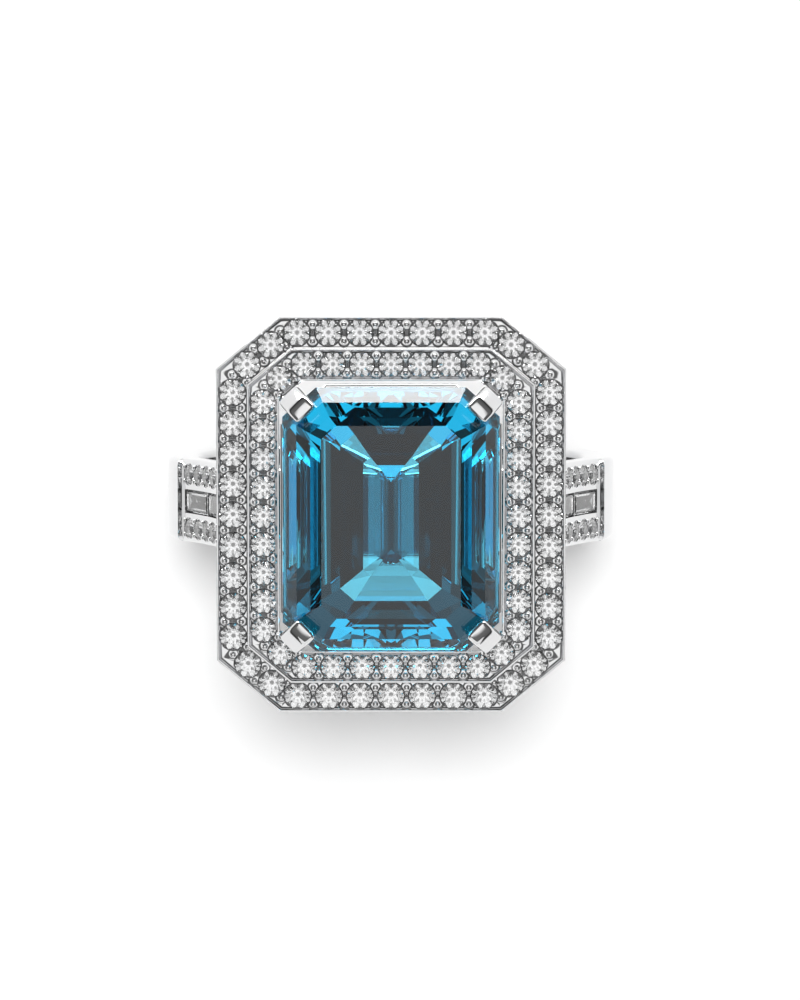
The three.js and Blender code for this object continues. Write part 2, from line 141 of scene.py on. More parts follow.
def remap(nodes, links, value, low, high):
    """Spreads a noise's middle values over low to high."""
    spread = nodes.new("ShaderNodeMapRange")
    spread.inputs["From Min"].default_value = 0.3
    spread.inputs["From Max"].default_value = 0.7
    spread.inputs["To Min"].default_value = low
    spread.inputs["To Max"].default_value = high
    links.new(value, spread.inputs["Value"])
    return spread.outputs["Result"]


def tint_between(nodes, links, shader, value, tints):
    """Gives the surface a colour between two tints, as the noise says."""
    tint = nodes.new("ShaderNodeMix")
    tint.data_type = "RGBA"
    tint.inputs["A"].default_value, tint.inputs["B"].default_value = tints
    links.new(remap(nodes, links, value, 0, 1), tint.inputs["Factor"])
    links.new(tint.outputs["Result"], shader.inputs["Base Color"])


def metal_material():
    material, nodes, links, shader = new_material("polished_white_gold")
    shader.inputs["Metallic"].default_value = 1.0
    tint_between(nodes, links, shader, noise(nodes, links, 900), METAL_TINTS)
    haze = noise(nodes, links, 2500, detail=6)
    links.new(remap(nodes, links, haze, *METAL_ROUGHNESS), shader.inputs["Roughness"])
    scratches = noise(nodes, links, 4000, detail=3, stretch=(1, 9, 3))
    bump = nodes.new("ShaderNodeBump")
    bump.inputs["Strength"].default_value = 0.025
    bump.inputs["Distance"].default_value = 0.01 * MM
    links.new(scratches, bump.inputs["Height"])
    links.new(bump.outputs["Normal"], shader.inputs["Normal"])
    return material


def stone_material(name, tints, ior, clarity):
    material, nodes, links, shader = new_material(name)
    shader.inputs["Transmission Weight"].default_value = clarity
    shader.inputs["IOR"].default_value = ior
    tint_between(nodes, links, shader, noise(nodes, links, 350, detail=2), tints)
    polish = noise(nodes, links, 3000)
    links.new(remap(nodes, links, polish, *STONE_ROUGHNESS), shader.inputs["Roughness"])
    return material


def topaz_material():
    """Blue all through: light is absorbed on its way, so deeper paths come out darker."""
    material = stone_material("blue_topaz", BLUE_TINTS, TOPAZ_IOR, 1.0)
    nodes, links = material.node_tree.nodes, material.node_tree.links
    nodes["Principled BSDF"].inputs["Specular IOR Level"].default_value = 0.95
    volume = nodes.new("ShaderNodeVolumeAbsorption")
    volume.inputs["Color"].default_value, volume.inputs["Density"].default_value = BLUE_ABSORPTION
    links.new(volume.outputs["Volume"], nodes["Material Output"].inputs["Volume"])
    return material


METAL = metal_material()
TOPAZ = topaz_material()
DIAMOND = stone_material("diamond", WHITE_TINTS, DIAMOND_IOR, 0.96)


# ---------- Pieces ----------


def new_object(name, vertices, faces):
    """A mesh in millimetres, with its faces turned outwards."""
    mesh = bpy.data.meshes.new(name)
    mesh.from_pydata([tuple(v) for v in vertices], [], faces)
    shape = bmesh.new()
    shape.from_mesh(mesh)
    bmesh.ops.remove_doubles(shape, verts=shape.verts, dist=1e-5)
    bmesh.ops.recalc_face_normals(shape, faces=shape.faces)
    shape.to_mesh(mesh)
    shape.free()
    piece = bpy.data.objects.new(name, mesh)
    bpy.context.scene.collection.objects.link(piece)
    return piece


def merged(name, pieces):
    """One object holding the meshes of all the pieces, which are used up."""
    shape = bmesh.new()
    for piece in pieces:
        piece.data.transform(piece.matrix_world)
        shape.from_mesh(piece.data)
        discard(piece)
    mesh = bpy.data.meshes.new(name)
    shape.to_mesh(mesh)
    shape.free()
    result = bpy.data.objects.new(name, mesh)
    bpy.context.scene.collection.objects.link(result)
    return result


def discard(piece):
    mesh = piece.data
    bpy.data.objects.remove(piece)
    bpy.data.meshes.remove(mesh)


def combine(piece, tool, operation):
    """Cuts tool out of piece, or joins it on. The tool is used up."""
    modifier = piece.modifiers.new("combine", "BOOLEAN")
    modifier.solver = "MANIFOLD"
    modifier.operation = operation
    modifier.object = tool
    graph = bpy.context.evaluated_depsgraph_get()
    result = bpy.data.meshes.new_from_object(piece.evaluated_get(graph))
    piece.modifiers.clear()
    old = piece.data
    piece.data = result
    bpy.data.meshes.remove(old)
    discard(tool)


def finish_piece(piece, name, material, nodes, smooth_angle=None):
    """Turns a drawn shape into a finished piece of the ring, in metres."""
    piece.name = name
    piece.data.transform(Matrix.Scale(MM, 4))
    piece.data.materials.clear()
    piece.data.materials.append(material)
    if smooth_angle is None:
        piece.data.shade_flat()
    else:
        piece.data.shade_smooth()
        piece.data.set_sharp_from_angle(angle=math.radians(smooth_angle))
    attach(piece, "root")
    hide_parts(*nodes)
    return piece


def metal_piece(piece, name, *nodes):
    return finish_piece(piece, name, METAL, nodes, smooth_angle=35)


# ---------- Outlines ----------


def outline(inset):
    """Half sizes and corner cuts of the head's outline, moved inwards by inset."""
    shrink = (math.hypot(*CUT) - CUT[0] - CUT[1]) * inset
    return HEAD[0] - inset, HEAD[1] - inset, CUT[0] + shrink / CUT[1], CUT[1] + shrink / CUT[0]


def octagon(half_x, half_y, cut_x, cut_y):
    """Corners of a cut-corner oblong, anticlockwise."""
    quarter = [(half_x, half_y - cut_y), (half_x - cut_x, half_y)]
    left = [(-x, y) for x, y in reversed(quarter)]
    return quarter + left + [(-x, -y) for x, y in quarter + left]


def rounded(profile, radius, steps=3):
    """Rounds every corner of a closed profile by a fillet of at most radius."""
    points = []
    for i, corner in enumerate(profile):
        here, before = Vector(corner), Vector(profile[i - 1])
        after = Vector(profile[(i + 1) % len(profile)])
        reach = min(radius, (here - before).length * 0.45, (here - after).length * 0.45)
        start = here + (before - here).normalized() * reach
        end = here + (after - here).normalized() * reach
        for step in range(steps + 1):
            t = step / steps
            points.append((1 - t) ** 2 * start + 2 * t * (1 - t) * here + t * t * end)
    return points


def sweep(name, profile, ring_of=outline):
    """A closed profile of (inset, height) carried round an octagon outline."""
    vertices, faces = [], []
    for inset, z in profile:
        vertices += [(x, y, z) for x, y in octagon(*ring_of(inset))]
    count = len(profile)
    for i in range(count):
        for k in range(8):
            a, b = i * 8 + k, i * 8 + (k + 1) % 8
            c, d = ((i + 1) % count) * 8 + (k + 1) % 8, ((i + 1) % count) * 8 + k
            faces.append((a, b, c, d))
    return new_object(name, vertices, faces)


# ---------- Turned and cut stones ----------


def turned(profile, sides=32):
    """A solid of revolution about Z from (radius, z) points that start and end on the axis."""
    vertices, faces = [], []
    inner = profile[1:-1]
    for radius, z in inner:
        for k in range(sides):
            angle = 2 * math.pi * k / sides
            vertices.append((radius * math.cos(angle), radius * math.sin(angle), z))
    for i in range(len(inner) - 1):
        for k in range(sides):
            a, b = i * sides + k, i * sides + (k + 1) % sides
            faces.append((a, b, b + sides, a + sides))
    low, high = len(vertices), len(vertices) + 1
    vertices += [(0, 0, profile[0][1]), (0, 0, profile[-1][1])]
    last = (len(inner) - 1) * sides
    for k in range(sides):
        faces.append((low, (k + 1) % sides, k))
        faces.append((high, last + k, last + (k + 1) % sides))
    return new_object("turned", vertices, faces)


# A brilliant of diameter 1: radii of the table, star and lower rings, and heights of the rest.
BRILLIANT = {"table": 0.28, "star": 0.4, "crown": 0.155, "girdle": 0.012, "pavilion": 0.43, "lower": 0.12}


def brilliant(diameter):
    """A full-cut round brilliant, its girdle at z = 0 and its table up."""
    cut = BRILLIANT
    eighth, half_step = math.pi / 4, math.pi / 8

    def ring(radius, z, turn, count=8):
        step = 2 * math.pi / count
        return [
            Vector((radius * math.cos(turn + k * step), radius * math.sin(turn + k * step), z))
            for k in range(count)
        ]

    crown_slope = cut["crown"] / (0.5 - cut["table"])
    star_z = cut["girdle"] + crown_slope * (0.5 - cut["star"] * math.cos(half_step))
    main_slope = cut["pavilion"] / 0.5
    lower_z = -cut["girdle"] - main_slope * (0.5 - cut["lower"] * math.cos(half_step))
    table = ring(cut["table"], cut["girdle"] + cut["crown"], half_step)
    star = ring(cut["star"], star_z, 2 * half_step)
    upper = ring(0.5, cut["girdle"], half_step, 16)
    under = ring(0.5, -cut["girdle"], half_step, 16)
    lower = ring(cut["lower"], lower_z, 2 * half_step)
    culet = Vector((0, 0, -cut["girdle"] - cut["pavilion"]))
    faces = [table]
    for k in range(8):
        n, g, h, j = (k + 1) % 8, 2 * k, 2 * k + 1, (2 * k + 2) % 16
        faces.append([table[k], star[k], table[n]])
        faces.append([table[n], star[k], upper[j], star[n]])
        faces.append([star[k], upper[g], upper[h]])
        faces.append([star[k], upper[h], upper[j]])
        faces.append([upper[g], under[g], under[h], upper[h]])
        faces.append([upper[h], under[h], under[j], upper[j]])
        faces.append([lower[k], under[h], under[g]])
        faces.append([lower[k], under[j], under[h]])
        faces.append([culet, lower[n], under[j], lower[k]])
    return faceted("brilliant", faces, diameter)


def faceted(name, faces, scale=1.0):
    vertices = [corner * scale for face in faces for corner in face]
    indices, start = [], 0
    for face in faces:
        indices.append(tuple(range(start, start + len(face))))
        start += len(face)
    return new_object(name, vertices, indices)


def step_cut(name, rings):
    """A step cut from rings of equally many corners, lowest first. Corners that fall together are merged."""
    faces = [rings[0][::-1], rings[-1]]
    count = len(rings[0])
    for low, high in zip(rings, rings[1:]):
        for k in range(count):
            n = (k + 1) % count
            quad = [low[k], low[n], high[n], high[k]]
            unique = [p for i, p in enumerate(quad) if (p - quad[i - 1]).length > 1e-4]
            if len(unique) > 2:
                faces.append(unique)
    faces = [face for face in faces if face_area(face) > 1e-4]
    return faceted(name, faces)


def face_area(face):
    return sum(
        (face[i] - face[0]).cross(face[i + 1] - face[0]).length for i in range(1, len(face) - 1)
    )


# ---------- The centre stone ----------

STONE_Z = 14.4  # the girdle's middle
CORNER_RATIO = 1.15  # of a corner's cut along X to its cut along Y
CENTRE_STEPS = [  # half X, half Y, corner's cut along X, height from the girdle
    (1.17, 2.5, 0.31, -3.57),
    (2.13, 3.5, 0.6, -2.71),
    (4.5, 5.5, 1.4, -0.08),
    (4.5, 5.5, 1.4, 0.08),
    (3.9, 4.9, 1.09, 0.75),
    (3.32, 4.33, 0.79, 1.24),
    (2.87, 3.97, 0.63, 1.48),
]
KEEL_HALF, KEEL_Z = 1.42, -4.42
KEEL_POCKET = 0.12  # clearance round the keel where it dips into the top of the band


def centre_stone(grow=0.0):
    def ring(half_x, half_y, cut, z):
        corners = octagon(half_x + grow, half_y + grow, cut, cut / CORNER_RATIO)
        return [Vector((x, y, STONE_Z + z + math.copysign(grow, z))) for x, y in corners]

    low = STONE_Z + KEEL_Z - grow
    keel = [Vector((0, math.copysign(KEEL_HALF + grow, p.y), low)) for p in ring(1, 1, 0.5, 0)]
    return step_cut("centre", [keel] + [ring(*step) for step in CENTRE_STEPS])


# ---------- Halos ----------


def spread(count, pitch):
    return [(i - (count - 1) / 2) * pitch for i in range(count)]


def halo_places(row):
    """Where each round stone of a halo sits, anticlockwise, as (x, y, side)."""
    half_x, half_y, cut_x, cut_y = outline(row["inset"])
    middle = Vector((half_x - cut_x / 2, half_y - cut_y / 2))
    along = Vector((-cut_x, cut_y)).normalized()
    corner = [middle + along * s for s in spread(row["corner"], CORNER_PITCH)]
    ys, xs = spread(row["long"], row["long_pitch"]), spread(row["short"], row["short_pitch"])
    places = [(half_x, y, "east") for y in ys]
    places += [(p.x, p.y, "east") for p in corner]
    places += [(-x, half_y, "north") for x in xs]
    places += [(-p.x, p.y, "west") for p in reversed(corner)]
    places += [(-half_x, -y, "west") for y in ys]
    places += [(-p.x, -p.y, "west") for p in corner]
    places += [(x, -half_y, "south") for x in xs]
    places += [(p.x, -p.y, "east") for p in reversed(corner)]
    return places


SEAT_RELIEF = 0.04  # how much wider than its stone's radius a seat is
SEAT_HOLE, SEAT_THROAT = 0.26, 0.24  # radii of the hole under a seat
SEAT_CLEAR = 0.6  # how far a seat's cutter stands over the girdle
BEAD_RADIUS, BEAD_DOME, BEAD_LIFT = 0.125, 0.09, 0.04
PILLAR_RADIUS, PILLAR_DOME = 0.28, 0.07
BEAD_ACROSS = 0.35  # from the row's middle line to a bead's centre
PILLAR_LIFT = 0.03  # how far the metal between the stones stands above their girdles
GUTTER_DEPTH = 0.2  # how deep the groove beside each rail is
GROOVES = {"count": 3, "width": 0.11, "depth": 0.07, "clear": 0.4}
OVERSHOOT = 0.03  # how far a cutter reaches past the surface it cuts
FRAME_FILLET = 0.03
SEAT_DEPTH_BELOW = 0.2  # how far past the frame's underside a seat's hole is cut


def seat_profile(diameter, depth):
    radius = diameter / 2
    return [
        (0, -depth),
        (SEAT_HOLE, -depth),
        (SEAT_THROAT, -0.42 * diameter),
        (radius - 0.03, -0.03),
        (radius + SEAT_RELIEF, 0.0),
        (radius + SEAT_RELIEF, SEAT_CLEAR),
        (0, SEAT_CLEAR),
    ]


def dome(radius, height, stem):
    """A rounded top on a stem that sinks into the metal, its widest ring at z = 0."""
    steps = (0, 0.3, 0.6, 0.85, 1.1, 1.3, 1.45)
    curve = [(radius * math.cos(a), height * math.sin(a)) for a in steps]
    return turned([(0, -stem), (radius, -stem), *curve, (0, height)], sides=20)


def bead_places(places):
    """The middle between each pair of neighbours, with the direction across the row there and its angle."""
    found = []
    for i, (x, y, _) in enumerate(places):
        next_x, next_y, _ = places[(i + 1) % len(places)]
        middle = Vector(((x + next_x) / 2, (y + next_y) / 2))
        across = Vector((next_y - y, x - next_x)).normalized()
        angle = math.atan2(across.y, across.x)
        found.append((middle, across, angle))
    return found


def at(piece, x, y, z, angle=0.0):
    piece.data.transform(Matrix.Translation((x, y, z)) @ Matrix.Rotation(angle, 4, "Z"))
    return piece


def bar(length, width, height):
    """A box centred on the origin, its underside at z = 0."""
    x, y = length / 2, width / 2
    base = [(x, y, 0), (-x, y, 0), (-x, -y, 0), (x, -y, 0)]
    top = [(a, b, height) for a, b, _ in base]
    faces = [(3, 2, 1, 0), (4, 5, 6, 7)] + [(k, (k + 1) % 4, 4 + (k + 1) % 4, 4 + k) for k in range(4)]
    return new_object("bar", base + top, faces)


def halo_frame(profile, row, girdle, diameter, depth):
    places = halo_places(row)
    body = sweep("halo", rounded(profile, FRAME_FILLET))
    gaps = bead_places(places)
    floor = girdle + PILLAR_LIFT
    pillar_z = floor + OVERSHOOT - PILLAR_DOME
    webs = [at(web_groove(), m.x, m.y, floor, angle) for m, _, angle in gaps]
    seats = [at(turned(seat_profile(diameter, depth)), x, y, girdle) for x, y, _ in places]
    spots = [m + across * side * BEAD_ACROSS for m, across, _ in gaps for side in (1, -1)]
    pillars = [at(dome(PILLAR_RADIUS, PILLAR_DOME, 0.3), x, y, pillar_z) for x, y in spots]
    beads = [at(dome(BEAD_RADIUS, BEAD_DOME, 0.2), x, y, floor + BEAD_LIFT) for x, y in spots]
    combine(body, merged("webs", webs), "DIFFERENCE")
    combine(body, merged("pillars", pillars), "UNION")
    combine(body, merged("seats", seats), "DIFFERENCE")
    combine(body, merged("beads", beads), "UNION")
    return body


def web_groove():
    """The cutter for the small ribbed dip between two stones: three V grooves across the row."""
    count, width, clear = GROOVES["count"], GROOVES["width"], GROOVES["clear"]
    half = BEAD_ACROSS - BEAD_RADIUS
    edge = count * width / 2
    line = [(-edge, clear)]
    for i in range(count):
        left = -edge + i * width
        line += [(left, -OVERSHOOT), (left + width / 2, -GROOVES["depth"])]
    line += [(edge, -OVERSHOOT), (edge, clear)]
    vertices = [(half * s, y, z) for s in (-1, 1) for y, z in line]
    size = len(line)
    faces = [tuple(range(size)), tuple(range(2 * size - 1, size - 1, -1))]
    faces += [(k, (k + 1) % size, size + (k + 1) % size, size + k) for k in range(size)]
    return new_object("groove", vertices, faces)


def rail_profile(insets, bottom, top, floor, inner_rail):
    """A halo's section: a rim outside, the floor that the stones sit in, and a rim inside if it has one."""
    outside, inside = insets
    middle = (outside + inside) / 2
    section = [
        (outside + 0.12, bottom),
        (outside, bottom + 0.2),
        (outside, top - 0.05),
        (outside + 0.01, top),
        (outside + 0.09, top),
        (outside + 0.11, floor - GUTTER_DEPTH),
        (outside + 0.2, floor - 0.03),
        (middle, floor),
    ]
    if inner_rail:
        section += [(inside - 0.2, floor - 0.03), (inside - 0.1, floor - GUTTER_DEPTH)]
        section += [(inside - 0.08, top - 0.08), (inside, top - 0.08)]
    else:
        section += [(inside, floor - 0.03)]
    return section + [(inside, bottom + 0.2), (inside - 0.12, bottom)]


def strip_of_stones(places, side, girdle, diameter):
    stones = [at(brilliant(diameter), x, y, girdle) for x, y, s in places if s == side]
    return merged("strip", stones)


# ---------- Basket ----------


def flat_outline(loop, half_width, edge):
    """A solid with the outline's points in X and Z, half_width to each side in Y, its edges rounded."""
    curve = bpy.data.curves.new("outline", "CURVE")
    curve.dimensions = "2D"
    curve.fill_mode = "BOTH"
    curve.extrude = half_width - edge
    curve.bevel_depth = edge
    curve.bevel_resolution = 3
    curve.offset = -edge
    spline = curve.splines.new("POLY")
    spline.points.add(len(loop) - 1)
    for point, (x, z) in zip(spline.points, loop):
        point.co = (x, z, 0, 1)
    spline.use_cyclic_u = True
    holder = bpy.data.objects.new("outline", curve)
    bpy.context.scene.collection.objects.link(holder)
    graph = bpy.context.evaluated_depsgraph_get()
    mesh = bpy.data.meshes.new_from_object(holder.evaluated_get(graph))
    bpy.data.objects.remove(holder)
    bpy.data.curves.remove(curve)
    mesh.transform(Matrix.Rotation(math.pi / 2, 4, "X"))
    shape = bmesh.new()
    shape.from_mesh(mesh)
    bmesh.ops.remove_doubles(shape, verts=shape.verts, dist=1e-5)
    bmesh.ops.recalc_face_normals(shape, faces=shape.faces)
    shape.to_mesh(mesh)
    shape.free()
    piece = bpy.data.objects.new("outline", mesh)
    bpy.context.scene.collection.objects.link(piece)
    return piece


PRONG_AT = (3.88, 4.82)
PRONG_HALF_WIDTH = 0.525
PRONG_EDGE = 0.2
PRONG_PROFILE = [  # outwards from the corner, and height
    (-1.35, 10.3), (0.6, 14.6), (0.6, 14.75), (0.02, 15.46), (-0.52, 15.57),
    (-0.64, 15.4), (-0.64, 14.7), (-0.25, 14.35), (-2.1, 10.3),
]


def prong(sign_x, sign_y):
    shape = flat_outline(rounded(PRONG_PROFILE, PRONG_EDGE, 5), PRONG_HALF_WIDTH, PRONG_EDGE)
    return at(shape, PRONG_AT[0] * sign_x, PRONG_AT[1] * sign_y, 0, math.atan2(sign_y, sign_x))


SEAT_RAIL = (4.62, 5.62, 1.9, 1.7)  # half sizes and corner cuts
SEAT_WIRE = 0.6
SEAT_HEIGHT = (13.4, 14.0)  # bottom and top
BASE_RAIL = (3.2, 4.35, 1.3, 1.4)
BASE_WIRE = 0.55
BASE_HEIGHT = (10.3, 10.85)
WIRE_FILLET = 0.12
BASE_FOOT = {"length": 1.8, "bottom": 9.9}  # stands the base rail on the band
LUG = {"width": 0.6, "reach": 0.9, "bottom": 11.5, "top": 12.1}  # ties the inner halo to a claw


def moved_in(shape):
    """An outline function for a ring whose outermost octagon is shape."""
    half_x, half_y, cut_x, cut_y = shape

    def ring_of(inset):
        shrink = (math.hypot(cut_x, cut_y) - cut_x - cut_y) * inset
        return half_x - inset, half_y - inset, cut_x + shrink / cut_y, cut_y + shrink / cut_x

    return ring_of


def rail(shape, wire, bottom, top):
    section = [(0, bottom), (0, top), (wire, top), (wire, bottom)]
    return sweep("rail", rounded(section, WIRE_FILLET, 4), moved_in(shape))


def base_rail():
    body = rail(BASE_RAIL, BASE_WIRE, *BASE_HEIGHT)
    height = BASE_HEIGHT[0] + BASE_WIRE / 3 - BASE_FOOT["bottom"]
    for side in (1, -1):
        foot = bar(BASE_WIRE, BASE_FOOT["length"], height)
        combine(body, at(foot, side * (BASE_RAIL[0] - BASE_WIRE / 2), 0, BASE_FOOT["bottom"]), "UNION")
    return body


def add_lugs(body):
    """Four bars from the inner halo to the claws."""
    for sign_y in (1, -1):
        for sign_x in (1, -1):
            lug = bar(2 * LUG["reach"], LUG["width"], LUG["top"] - LUG["bottom"])
            turn = math.atan2(sign_y, sign_x)
            at(lug, PRONG_AT[0] * sign_x, PRONG_AT[1] * sign_y, LUG["bottom"], turn)
            combine(body, lug, "UNION")
    return body


# ---------- Gallery under the head ----------

GALLERY = {"from": 0.75, "to": 1.25, "bottom": 9.5, "top": 10.05, "end": 1.9, "post": 0.2, "post_top": 10.57}


def gallery(sign_y):
    section = [
        (GALLERY["from"], GALLERY["bottom"]),
        (GALLERY["from"], GALLERY["top"]),
        (GALLERY["to"], GALLERY["top"]),
        (GALLERY["to"], GALLERY["bottom"]),
    ]
    wire = sweep("gallery", rounded(section, 0.14, 4))
    span = HEAD[1] - GALLERY["end"]
    half_box = bar(2 * HEAD[0], span, 2)
    combine(wire, at(half_box, 0, sign_y * (GALLERY["end"] + span / 2), 9), "INTERSECT")
    half_x, half_y, cut_x, cut_y = outline((GALLERY["from"] + GALLERY["to"]) / 2)
    path = [(half_x, GALLERY["end"] + 0.4), (half_x, half_y - cut_y), (half_x - cut_x, half_y)]
    path += [(-x, y) for x, y in reversed(path)]
    middles = [((a[0] + b[0]) / 2, (a[1] + b[1]) / 2) for a, b in zip(path, path[1:])]
    height = GALLERY["post_top"] - GALLERY["bottom"] - 0.15
    for x, y in path + middles:
        post = turned([(0, 0), (GALLERY["post"], 0), (GALLERY["post"], height), (0, height)], 16)
        combine(wire, at(post, x, sign_y * y, GALLERY["post_top"] - height), "UNION")
    return wire


# ---------- Band and shoulders ----------


def shoulder_points(steps):
    """The right-hand shoulder's outer surface as (x, z), from the band up, with its length so far."""
    start = Vector((math.cos(SHOULDER_START), math.sin(SHOULDER_START))) * (BAND_OUTER - SHOULDER_STEP)
    end = Vector(SHOULDER_TOP)
    rise = Vector((-math.cos(SHOULDER_SLOPES[0]), math.sin(SHOULDER_SLOPES[0])))
    fall = Vector((math.cos(SHOULDER_SLOPES[1]), -math.sin(SHOULDER_SLOPES[1])))
    gap = end - start
    reach = (gap.x * fall.y - gap.y * fall.x) / (rise.x * fall.y - rise.y * fall.x)
    control = start + rise * reach
    points = []
    for i in range(steps + 1):
        t = i / steps
        points.append((1 - t) ** 2 * start + 2 * t * (1 - t) * control + t * t * end)
    return points


def shoulder_place(sign, distance, y, depth):
    """A placement on a shoulder: X up along it, Z out of the metal."""
    points = shoulder_points(200)
    travelled = 0.0
    for before, after in zip(points, points[1:]):
        step = (after - before).length
        if travelled + step >= distance:
            break
        travelled += step
    along2 = (after - before).normalized()
    point = before + along2 * (distance - travelled)
    along = Vector((sign * along2.x, 0, along2.y))
    out = Vector((sign * along2.y, 0, -along2.x))
    across = out.cross(along)
    origin = Vector((sign * point.x, y, point.y)) - out * depth
    turn = Matrix((along, across, out)).transposed().to_4x4()
    return Matrix.Translation(origin) @ turn


def band_outline():
    right = [tuple(p) for p in shoulder_points(24)]

    def arc(start, end, steps):
        angles = [start + (end - start) * i / steps for i in range(steps + 1)]
        return [(BAND_OUTER * math.cos(a), BAND_OUTER * math.sin(a)) for a in angles]

    crown_angle = math.acos(SHOULDER_INNER / BAND_OUTER)
    low = arc(math.pi - SHOULDER_START, 2 * math.pi + SHOULDER_START, 160)
    crown = arc(crown_angle, math.pi - crown_angle, 40)
    top = SHOULDER_TOP[1]
    left = [(-x, z) for x, z in reversed(right)]
    return low + right + [(SHOULDER_INNER, top)] + crown + [(-SHOULDER_INNER, top)] + left


def finger_hole():
    """The cutter for the finger hole, flared at both mouths."""
    half, soft, clear, steps = BAND_HALF, BAND_SOFT_EDGE, 0.5, 6
    mouth = BAND_FINGER + soft
    angles = [math.pi / 2 * i / steps for i in range(1, steps + 1)]
    curve = [(mouth - soft * math.sin(a), half - soft + soft * math.cos(a)) for a in angles]
    inner = [(r, -y) for r, y in curve] + [(r, y) for r, y in reversed(curve)]
    profile = [(0, -half - clear), (mouth + clear, -half - clear), (mouth, -half - 0.01)]
    profile += inner + [(mouth, half + 0.01), (mouth + clear, half + clear), (0, half + clear)]
    hole = turned(profile, 192)
    hole.data.transform(Matrix.Rotation(math.pi / 2, 4, "X"))
    return hole


def shoulder_rows():
    sides = (("right", 1), ("left", -1))
    rows = (("north", SHOULDER_ROW["y"]), ("south", -SHOULDER_ROW["y"]))
    return [(side, sign, row, y) for side, sign in sides for row, y in rows]


def row_matrices(sign, y):
    return [
        shoulder_place(sign, SHOULDER_ROW["first"] + i * SHOULDER_ROW["pitch"], y, SHOULDER_ROW["sink"])
        for i in range(SHOULDER_ROW["count"])
    ]


def baguette_matrices(sign):
    first = BAGUETTE["first"] + BAGUETTE["length"] / 2
    return [shoulder_place(sign, first + i * BAGUETTE["pitch"], 0, BAGUETTE["sink"]) for i in (0, 1)]


def placed(piece, matrix):
    piece.data.transform(matrix)
    return piece


def band():
    blank = flat_outline(band_outline(), BAND_HALF, BAND_EDGE)
    combine(blank, finger_hole(), "DIFFERENCE")
    combine(blank, centre_stone(KEEL_POCKET), "DIFFERENCE")
    beads, seats, webs = [], [], []
    for _, sign, _, y in shoulder_rows():
        for i, matrix in enumerate(row_matrices(sign, y)):
            seats.append(placed(turned(seat_profile(SHOULDER_STONE, SHOULDER_SEAT_DEPTH)), matrix))
            before = matrix @ Matrix.Translation((-SHOULDER_ROW["pitch"] / 2, 0, 0))
            if i:
                webs.append(placed(web_groove(), before @ Matrix.Rotation(math.pi / 2, 4, "Z")))
            for across in (SHOULDER_BEAD_ACROSS, -SHOULDER_BEAD_ACROSS):
                lift = Matrix.Translation((0, across, SHOULDER_ROW["sink"] - SHOULDER_BEAD_SINK))
                beads.append(placed(dome(BEAD_RADIUS, BEAD_DOME, 0.25), before @ lift))
    pockets = []
    for sign in (1, -1):
        for matrix in baguette_matrices(sign):
            gap, depth = BAGUETTE_POCKET["gap"], BAGUETTE_POCKET["depth"]
            pocket = bar(BAGUETTE["length"] + gap, BAGUETTE["width"] + gap, 2 * depth)
            pockets.append(placed(pocket, matrix @ Matrix.Translation((0, 0, -depth))))
    combine(blank, merged("webs", webs), "DIFFERENCE")
    combine(blank, merged("pockets", pockets), "DIFFERENCE")
    combine(blank, merged("seats", seats), "DIFFERENCE")
    combine(blank, merged("beads", beads), "UNION")
    return blank


def baguette():
    half_length, half_width = BAGUETTE["length"] / 2, BAGUETTE["width"] / 2

    def rectangle(inset, z):
        x, y = half_length - inset, half_width - inset
        return [Vector((a * x, b * y, z)) for a, b in ((1, -1), (1, 1), (-1, 1), (-1, -1))]

    keel = [Vector((a * (half_length - half_width), 0, BAGUETTE_KEEL)) for a in (1, 1, -1, -1)]
    return step_cut("baguette", [keel] + [rectangle(*step) for step in BAGUETTE_STEPS])


# ---------- The ring ----------


def build_metal():
    metal_piece(band(), "band", "shank")
    metal_piece(gallery(1), "gallery_north", "gallery_wire_north")
    metal_piece(gallery(-1), "gallery_south", "gallery_wire_south")
    outer_depth = OUTER_GIRDLE - OUTER_BOTTOM + SEAT_DEPTH_BELOW
    section = rail_profile(OUTER_INSETS, OUTER_BOTTOM, OUTER_TOP, OUTER_GIRDLE + PILLAR_LIFT, False)
    outer = halo_frame(section, OUTER_ROW, OUTER_GIRDLE, OUTER_STONE, outer_depth)
    metal_piece(outer, "outer_halo", "outer_halo_frame")
    inner_depth = INNER_GIRDLE - INNER_BOTTOM + SEAT_DEPTH_BELOW
    section = rail_profile(INNER_INSETS, INNER_BOTTOM, INNER_TOP, INNER_GIRDLE + PILLAR_LIFT, True)
    inner = halo_frame(section, INNER_ROW, INNER_GIRDLE, INNER_STONE, inner_depth)
    metal_piece(add_lugs(inner), "inner_halo", "inner_halo_frame")
    metal_piece(rail(SEAT_RAIL, SEAT_WIRE, *SEAT_HEIGHT), "seat_rail", "basket_seat_rail")
    metal_piece(base_rail(), "base_rail", "basket_base_rail")
    for side_y, sign_y in (("north", 1), ("south", -1)):
        for side_x, sign_x in (("east", 1), ("west", -1)):
            corner = f"{side_y}_{side_x}"
            metal_piece(prong(sign_x, sign_y), f"claw_{corner}", f"prong_{corner}")


